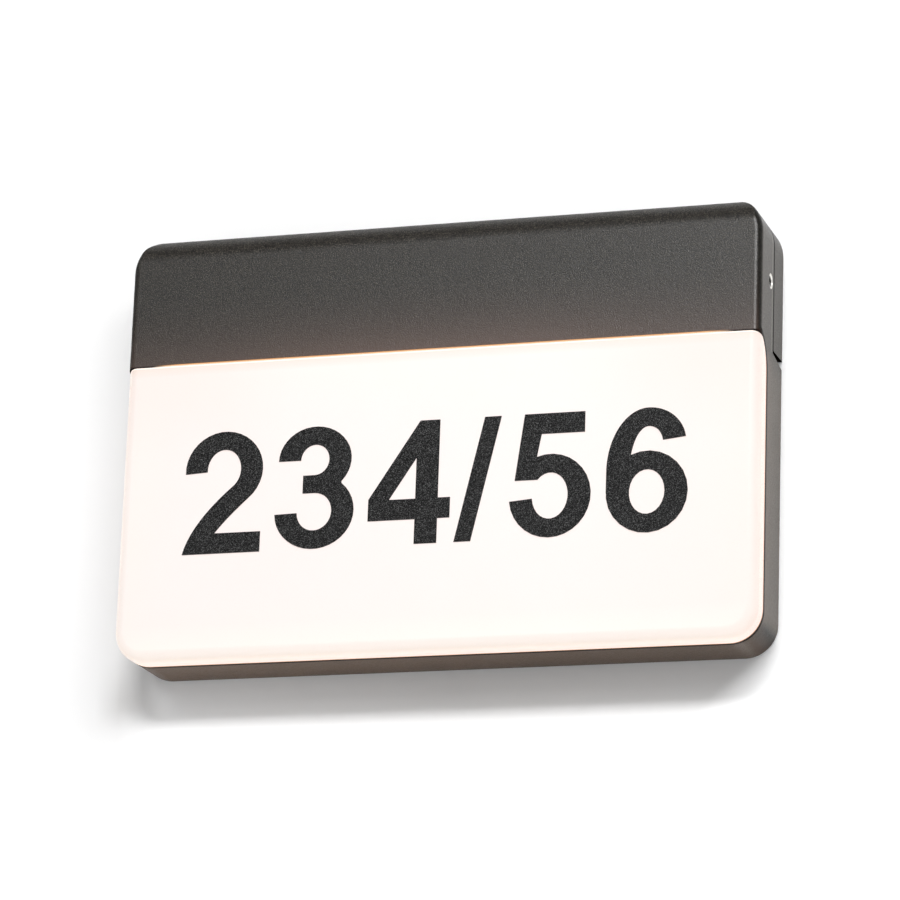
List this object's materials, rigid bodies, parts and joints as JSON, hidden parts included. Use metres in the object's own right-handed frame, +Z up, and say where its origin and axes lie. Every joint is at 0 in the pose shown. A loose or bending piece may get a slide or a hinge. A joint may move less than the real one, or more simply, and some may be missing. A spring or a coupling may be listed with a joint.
{
  "type": "outdoor wall light",
  "caption": "Flat rectangular illuminated house-number light: dark metal cap and body, opal diffuser that wraps round its edges, on a slotted wall bracket.",
  "frame": {"origin": "centre of the bracket's two wall-screw slots, on the wall plane", "axes": "+X across the light to the right as seen from the front, +Y into the wall, +Z up; the front faces -Y"},
  "size_m": [0.225, 0.0313, 0.1525],
  "materials": {
    "powder_coat": "fine-textured dark grey powder coat on die-cast aluminium",
    "opal_acrylic": "opal acrylic, satin, lit from behind",
    "black_rubber": "moulded rubber",
    "dark_foam": "closed-cell foam rubber, pressed",
    "steel_screw": "plain stainless steel",
    "white_board": "metal-core board under white solder mask",
    "led_lens": "phosphor in a white housing",
    "white_reflector": "vacuum-formed, glossy",
    "driver_plastic": "off-white moulded plastic",
    "green_board": "glass-fibre board under green solder mask",
    "ferrite": "ferrite core with taped winding",
    "capacitor_can": "dark sleeve on an aluminium can",
    "terminal_plastic": "natural nylon",
    "brass": "plain brass",
    "tinned_tag": "tinned",
    "brown_lead": "soft insulation",
    "blue_lead": "soft insulation",
    "green_yellow_lead": "green insulation with a yellow stripe",
    "red_lead": "soft insulation",
    "black_lead": "soft insulation",
    "dark_film": "dark adhesive film with a fine grain"
  },
  "bodies": {
    "bracket": {"wall_bracket": "powder_coat", "wall_gasket": "dark_foam", "cable_grommet": "black_rubber"},
    "head": {"head_housing": "powder_coat", "diffuser": "opal_acrylic", "diffuser_seal": "black_rubber", "diffuser_screws": "steel_screw", "screw_seals": "black_rubber", "led_board": "white_board", "leds": "led_lens", "reflector": "white_reflector", "board_screws": "steel_screw", "driver_case": "driver_plastic", "driver_lid": "driver_plastic", "driver_board": "green_board", "driver_transformer": "ferrite", "driver_capacitors": "capacitor_can", "driver_screws": "steel_screw", "terminal_block": "terminal_plastic", "terminal_clamps": "brass", "terminal_screws": "steel_screw", "block_screws": "steel_screw", "earth_screw": "steel_screw", "earth_washer": "steel_screw", "earth_tag": "tinned_tag", "wire_live": "brown_lead", "wire_neutral": "blue_lead", "wire_earth": "green_yellow_lead", "wire_led_plus": "red_lead", "wire_led_minus": "black_lead", "lead_grommet": "black_rubber", "number_2": "dark_film", "number_3": "dark_film", "number_4": "dark_film", "number_stroke": "dark_film", "number_5": "dark_film", "number_6": "dark_film"},
    "left_screw": {"set_screw_left": "steel_screw"},
    "right_screw": {"set_screw_right": "steel_screw"}
  },
  "joints": [
    {"name": "head_pull_off", "type": "slide", "parent": "bracket", "child": "head", "axis": [0, -1, 0], "range_m": [0, 0.06]},
    {"name": "left_screw_out", "type": "slide", "parent": "head", "child": "left_screw", "axis": [-1, 0, 0], "range_m": [0, 0.004]},
    {"name": "right_screw_out", "type": "slide", "parent": "head", "child": "right_screw", "axis": [1, 0, 0], "range_m": [0, 0.004]}
  ]
}
